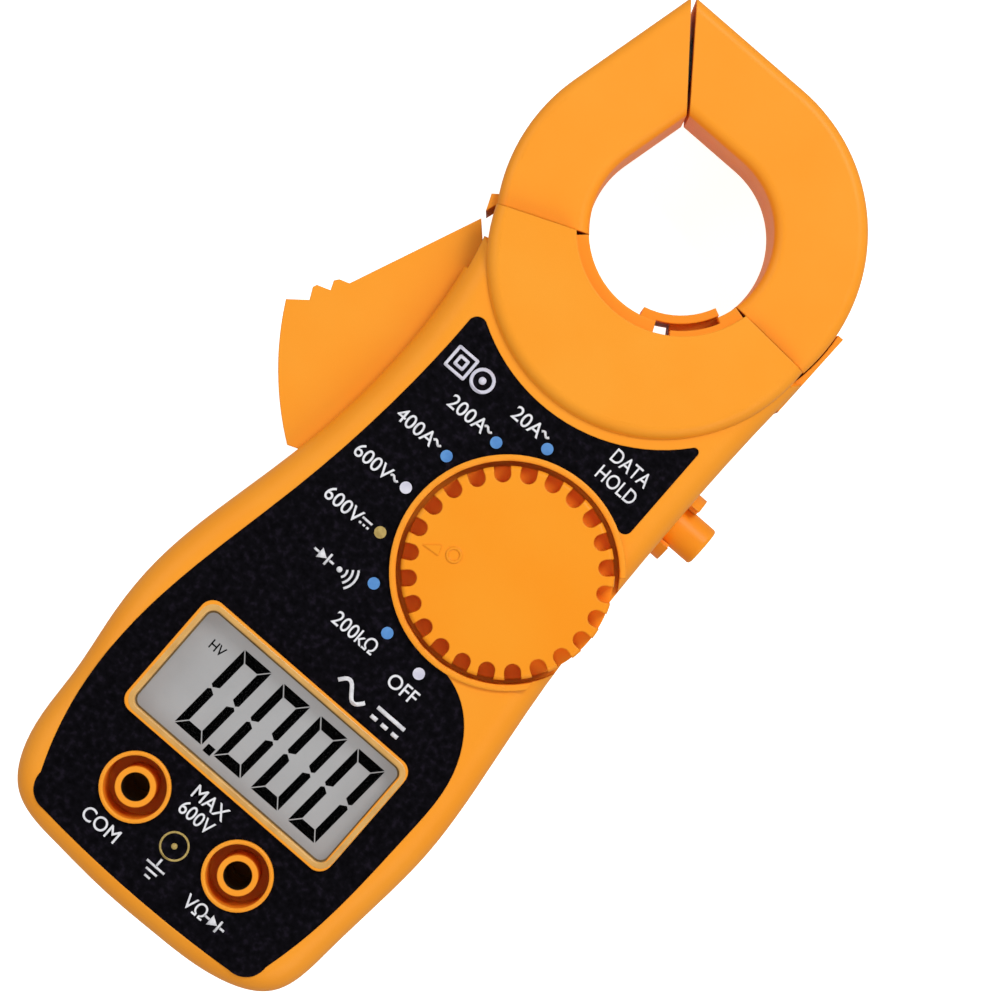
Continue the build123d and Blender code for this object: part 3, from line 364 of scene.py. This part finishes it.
def baked(curve, lift):
    """Mesh of a flat curve or text, lifted to a height in millimetres."""
    holder = bpy.data.objects.new("holder", curve)
    bpy.context.scene.collection.objects.link(holder)
    bpy.context.view_layer.update()
    graph = bpy.context.evaluated_depsgraph_get()
    mesh = bpy.data.meshes.new_from_object(holder.evaluated_get(graph))
    bpy.data.objects.remove(holder)
    bpy.data.curves.remove(curve)
    mesh.transform(Matrix.Translation((0.0, 0.0, lift * MM)))
    return mesh


def joined(meshes):
    """One mesh from several, with shared points merged."""
    whole = bmesh.new()
    for mesh in meshes:
        whole.from_mesh(mesh)
        bpy.data.meshes.remove(mesh)
    bmesh.ops.remove_doubles(whole, verts=whole.verts, dist=0.002 * MM)
    mesh = bpy.data.meshes.new("joined")
    whole.to_mesh(mesh)
    whole.free()
    return mesh


def plate(loops, low, high, bevel=0.0):
    """Flat plate between two heights; loops inside others are holes, its edges are rounded."""
    curve = bpy.data.curves.new("plate", "CURVE")
    curve.dimensions = "2D"
    curve.fill_mode = "BOTH"
    curve.extrude = ((high - low) / 2 - bevel) * MM
    curve.bevel_depth = bevel * MM
    curve.bevel_resolution = 3
    curve.offset = -bevel * MM
    for loop in loops:
        spline = curve.splines.new("POLY")
        spline.points.add(len(loop) - 1)
        for point, (x, y) in zip(spline.points, loop):
            point.co = (x * MM, y * MM, 0.0, 1.0)
        spline.use_cyclic_u = True
    mesh = baked(curve, (low + high) / 2)
    mesh.polygons.foreach_set("use_smooth", [True] * len(mesh.polygons))
    mesh.set_sharp_from_angle(angle=radians(40.0))
    return mesh


def printed(loops):
    """Ink on the face of the label."""
    return plate(loops, FACE_Z, FACE_Z + INK)


def words(text, centre, height, squeeze=1.0, floor=FACE_Z):
    """Lettering centred on a point above a floor, with capitals of a given height."""
    curve = bpy.data.curves.new("words", "FONT")
    curve.body = text
    curve.size = height / CAPITAL_SHARE * MM
    curve.offset = BOLD * MM
    curve.extrude = INK / 2 * MM
    curve.resolution_u = 6
    mesh = baked(curve, floor + INK / 2)
    mesh.transform(Matrix.Diagonal((squeeze, 1.0, 1.0, 1.0)))
    across = [corner.co.x for corner in mesh.vertices]
    up = [corner.co.y for corner in mesh.vertices]
    shift_x = centre[0] * MM - (min(across) + max(across)) / 2
    shift_y = centre[1] * MM - (min(up) + max(up)) / 2
    mesh.transform(Matrix.Translation((shift_x, shift_y, 0.0)))
    return mesh


def stroke(points, width):
    """Outline of a line of even width through points, with square ends."""
    left, right = [], []
    for i, here in enumerate(points):
        before = Vector(points[max(i - 1, 0)])
        after = Vector(points[min(i + 1, len(points) - 1)])
        along = (after - before).normalized()
        side = Vector((-along.y, along.x)) * width / 2
        left.append(tuple(Vector(here) + side))
        right.append(tuple(Vector(here) - side))
    return left + right[::-1]


def sine(centre, width, height, thick):
    """Alternating-current sign."""
    count = 16
    points = []
    for i in range(count + 1):
        share = i / count
        x = centre[0] + (share - 0.5) * width
        points.append((x, centre[1] + height / 2 * sin(radians(360.0 * share))))
    return stroke(points, thick)


def bar(centre, width, height):
    """Small upright rectangle."""
    x, y = centre
    return [(x - width / 2, y - height / 2), (x + width / 2, y - height / 2),
            (x + width / 2, y + height / 2), (x - width / 2, y + height / 2)]


# ---- dial -------------------------------------------------------------------------------
DIAL_CENTRE = (10.1, 27.65)
DOT_CIRCLE = 18.5
DOT_RADIUS = 0.87
DOT_HEIGHT = 0.08
DOT_EDGE = 0.03
DIAL = ((270.0, dot_white), (247.5, blue_ink), (225.0, blue_ink), (202.5, gold_ink),
        (180.0, dot_white), (157.5, blue_ink), (135.0, blue_ink), (112.5, blue_ink))
for position, (angle, ink) in enumerate(DIAL):
    spot = polar(DIAL_CENTRE, DOT_CIRCLE, angle)
    dot = plate([circle(spot, DOT_RADIUS, 40)], FACE_Z, FACE_Z + DOT_HEIGHT, DOT_EDGE)
    piece(f"dial_dot_{position + 1}", dot, ink, "case")

# ---- printed legends --------------------------------------------------------------------
CAPITAL = 2.15
LINE = 0.34
BIG_LINE = 0.6
# words with their middles and how far their letters are narrowed
LEGENDS = (("OFF", (9.8, 6.1), 0.96), ("200kΩ", (-0.4, 7.7), 0.93), ("600V", (-13.4, 20.2), 1.0),
           ("600V", (-14.2, 27.45), 1.0), ("400A", (-12.9, 35.1), 1.0), ("200A", (-8.6, 41.2), 1.0),
           ("20A", (-1.5, 45.85), 1.0), ("DATA", (13.7, 50.4), 0.82), ("HOLD", (13.7, 47.3), 0.82),
           ("COM", (-9.7, -36.0), 0.93), ("VΩ", (7.9, -36.0), 0.93), ("MAX", (0.0, -23.7), 0.93),
           ("600V", (-0.2, -26.5), 0.9))
DIRECT_RANGE = (-9.4, 20.2)
ALTERNATING_RANGES = ((-10.5, 27.6), (-9.2, 35.3), (-5.05, 41.4), (1.5, 46.1))
DIODES = ((-10.8, 12.9), (11.4, -36.1))     # at the dial and at the volt socket
BUZZER = (-7.9, 12.9)
BUZZER_WAVES = (1.1, 1.9, 2.7)
BUZZER_SPREAD = 38.0


def direct(centre, width, spread, thick):
    """Direct-current sign: a long bar over three short ones."""
    x, y = centre
    shapes = [bar((x, y + spread / 2), width, thick)]
    for step in (-1, 0, 1):
        shapes.append(bar((x + step * width * 0.38, y - spread / 2), width * 0.22, thick))
    return shapes


def diode(centre):
    """Diode sign: a filled arrowhead against a bar, on a short wire."""
    x, y = centre
    back, tip, half = x - 0.8, x + 0.55, 0.85
    head = [(back, y + half), (back, y - half), (tip, y)]
    wires = [bar((x - 1.3, y), 0.9, LINE), bar((x + 1.4, y), 0.8, LINE)]
    return [head, bar((x + 0.75, y), LINE, 1.9)] + wires


def earth(centre):
    """Earth sign: a stem over three bars, each shorter than the one above."""
    x, y = centre
    shapes = [bar((x, y + 0.75), LINE, 1.3)]
    for width, drop in ((3.2, 0.0), (2.0, 0.9), (1.0, 1.8)):
        shapes.append(bar((x, y - drop), width, LINE))
    return shapes


legends = [words(text, centre, CAPITAL, squeeze) for text, centre, squeeze in LEGENDS]
signs = direct(DIRECT_RANGE, 1.75, 0.8, LINE)
for centre in ALTERNATING_RANGES:
    signs.append(sine(centre, 1.4, 0.5, LINE))
legends.append(printed(signs))
for centre in DIODES:
    legends += [printed([shape]) for shape in diode(centre)]
legends.append(printed([circle(BUZZER, 0.42, 24)]))
for radius in BUZZER_WAVES:
    wave = band(BUZZER, (radius - LINE / 2, radius + LINE / 2), -BUZZER_SPREAD, BUZZER_SPREAD)
    legends.append(printed([wave]))
legends += [printed([shape]) for shape in earth((0.0, -35.5))]
legends.append(printed([sine((4.6, 1.1), 5.0, 2.2, BIG_LINE)]))
legends.append(printed(direct((11.3, 1.1), 5.0, 1.5, BIG_LINE)))
piece("printed_legends", joined(legends), white_ink, "case")

RING_MARK = (0.1, -31.6)
marks = [printed(ring(RING_MARK, (1.85, 2.15))), printed([circle(RING_MARK, 0.45, 24)])]
piece("printed_gold_mark", joined(marks), gold_ink, "case")

ROUND_MARK = (-10.1, 46.0)
SQUARE_MARK = (-14.0, 46.0)
SQUARE_LINE = 0.45
marks = [printed(ring(ROUND_MARK, (1.35, 1.85))), printed([circle(ROUND_MARK, 0.55, 24)])]
for size in (3.7, 1.8):
    hole = size - 2 * SQUARE_LINE
    marks.append(printed([rounded_rectangle(SQUARE_MARK, (size, size), 0.3),
                          rounded_rectangle(SQUARE_MARK, (hole, hole), 0.1)]))
piece("printed_plain_marks", joined(marks), dot_white, "case")

# ---- display --------------------------------------------------------------------------
BEZEL = 1.0
# width and height of the thin dark ring of painted shadow inside the bezel
SHADOW_RING = 0.25
SHADOW_RING_HEIGHT = 0.2
outer = (DISPLAY_OPENING[0] + 2 * BEZEL, DISPLAY_OPENING[1] + 2 * BEZEL)
lip = (DISPLAY_OPENING[0] - 2 * SHADOW_RING, DISPLAY_OPENING[1] - 2 * SHADOW_RING)
opening = rounded_rectangle(DISPLAY_CENTRE, DISPLAY_OPENING, 1.4)
bezel = plate([rounded_rectangle(DISPLAY_CENTRE, outer, 2.2), opening], FACE_Z, RIM_TOP, 0.3)
piece("display_bezel", bezel, bezel_paint, "case")
# a thin dark ring just inside the bezel is painted shadow, where the edge of the opening falls into
# shade
shadow_ring = plate([opening, rounded_rectangle(DISPLAY_CENTRE, lip, 1.2)], FACE_Z, FACE_Z + SHADOW_RING_HEIGHT, 0.05)
piece("display_painted_shadow", shadow_ring, shadow_ring_paint, "case")

DIGIT = (5.05, 14.2)                        # width and height of a numeral
DIGIT_PLACES = (-8.5, -1.25, 5.7, 12.65)
DIGIT_MIDDLE = -11.6
SIDE_BAR = 1.3                              # thickness of a numeral's upright bars
END_BAR = 1.5                               # thickness of its top and bottom bars
SLANT = tan(radians(3.5))
GAP = 0.12                                  # half the gap between two bars
POINT = (-5.15, -18.5)                      # decimal point
POINT_SIZE = 1.3
UNIT_SIGN = ("HV", (-13.6, -6.9), 1.5, 0.9)


def leaning(shape, centre):
    """A shape drawn round the origin, slanted and moved into place."""
    return [(centre[0] + x + y * SLANT, centre[1] + y) for x, y in shape]


def zero(centre):
    """The numeral 0: an end bar and two side bars above the middle, and the same below it."""
    right, top = DIGIT[0] / 2, DIGIT[1] / 2
    inner, under = right - SIDE_BAR, top - END_BAR
    end_bar = [(GAP - right, top), (right - GAP, top), (inner - GAP, under), (GAP - inner, under)]
    tip = right - SIDE_BAR / 3
    side_bar = [(right, top - GAP), (inner, under - GAP), (inner, SIDE_BAR / 2), (tip, GAP),
                (right, SIDE_BAR / 3)]
    shapes = []
    for up in (1, -1):
        shapes.append([(x, y * up) for x, y in end_bar])
        for out in (1, -1):
            shapes.append([(x * out, y * up) for x, y in side_bar])
    return [leaning(shape, centre) for shape in shapes]


digits = []
for place in DIGIT_PLACES:
    digits += zero((place, DIGIT_MIDDLE))
digits.append(leaning(bar((0.0, 0.0), POINT_SIZE, POINT_SIZE), POINT))
shapes = [plate([shape], GLASS_Z, GLASS_Z + INK) for shape in digits]
shapes.append(words(*UNIT_SIGN, GLASS_Z))
piece("display_digits", joined(shapes), segment_ink, "case")

# ---- rims and sockets -------------------------------------------------------------------
WELL_ARC = (38.0, 310.0)                    # the rim stops where the knob stands out of the side
rim = plate([band(KNOB_CENTRE, WELL_RADII, *WELL_ARC)], FACE_Z, RIM_TOP, 0.26)
piece("knob_well_rim", rim, finishes["orange_shell"], "case")
RIM_FOOT = 0.6                              # how far a socket's rim goes below the label
for side, centre in SOCKETS.items():
    rim = plate(ring(centre, SOCKET_RADII), FACE_Z - RIM_FOOT, RIM_TOP, 0.28)
    piece(f"socket_rim_{side}", rim, finishes["orange_shell"], "case")

# ---- studio -----------------------------------------------------------------------------
FLOOR = 3.0                                 # half the floor's width, in metres
FLOOR_GLOW = 0.85
FLOOR_GAP = 0.0002                          # the floor lies this far below the meter's back
SKY = 0.44
floor_finish = Finish("floor_paper", 0.9)
tone = floor_finish.noise(per_mm(0.01))
paper = [(0.0, (0.9, 0.9, 0.9, 1.0)), (1.0, (0.93, 0.93, 0.93, 1.0))]
floor_finish.colour(floor_finish.ramp(tone, paper))
floor_finish.shader.inputs["Emission Color"].default_value = (1.0, 1.0, 1.0, 1.0)
floor_finish.shader.inputs["Emission Strength"].default_value = FLOOR_GLOW
floor_mesh = bpy.data.meshes.new("floor")
corners = [(-FLOOR, -FLOOR, 0), (FLOOR, -FLOOR, 0), (FLOOR, FLOOR, 0), (-FLOOR, FLOOR, 0)]
floor_mesh.from_pydata(corners, [], [(0, 1, 2, 3)])
floor_mesh.materials.append(floor_finish.material)
floor = bpy.data.objects.new("floor", floor_mesh)
floor.location.z = cad_low.z - FLOOR_GAP
floor.visible_diffuse = False
floor.visible_glossy = False
bpy.context.scene.collection.objects.link(floor)

world = bpy.data.worlds.new("studio")
world.use_nodes = True
world.node_tree.nodes["Background"].inputs["Color"].default_value = (1.0, 1.0, 1.0, 1.0)
world.node_tree.nodes["Background"].inputs["Strength"].default_value = SKY
bpy.context.scene.world = world

TARGET = (cad_low + cad_high) / 2


def softbox(name, place, size, power):
    """Square lamp that faces the meter."""
    lamp = bpy.data.lights.new(name, "AREA")
    lamp.shape = "SQUARE"
    lamp.size = size
    lamp.energy = power
    stand = bpy.data.objects.new(name, lamp)
    stand.location = place
    stand.rotation_euler = (TARGET - stand.location).to_track_quat("-Z", "Y").to_euler()
    bpy.context.scene.collection.objects.link(stand)


softbox("key_light", Vector((0.10, 0.62, 0.75)), 0.35, 3.8)
softbox("side_light", Vector((0.80, -0.30, 0.80)), 0.6, 2.6)
softbox("fill_light", Vector((-0.80, -0.10, 0.80)), 0.6, 2.0)

# ---- camera -----------------------------------------------------------------------------
VIEW_HEIGHT = 0.55
VIEW_WIDTH = 0.1403                         # width seen at the height of the face
VIEW_CENTRE = (0.0028, 0.0350)
VIEW_TURN = 41.0                            # the meter leans this far in the frame, degrees
SENSOR = 36.0                               # millimetres
lens = bpy.data.cameras.new("camera")
lens.sensor_width = SENSOR
lens.lens = SENSOR * (VIEW_HEIGHT - FRONT_Z * MM) / VIEW_WIDTH
camera = bpy.data.objects.new("camera", lens)
camera.location = (*VIEW_CENTRE, VIEW_HEIGHT)
camera.rotation_euler = (0.0, 0.0, radians(VIEW_TURN))
bpy.context.scene.collection.objects.link(camera)
bpy.context.scene.camera = camera
bpy.context.scene.view_settings.view_transform = "Standard"
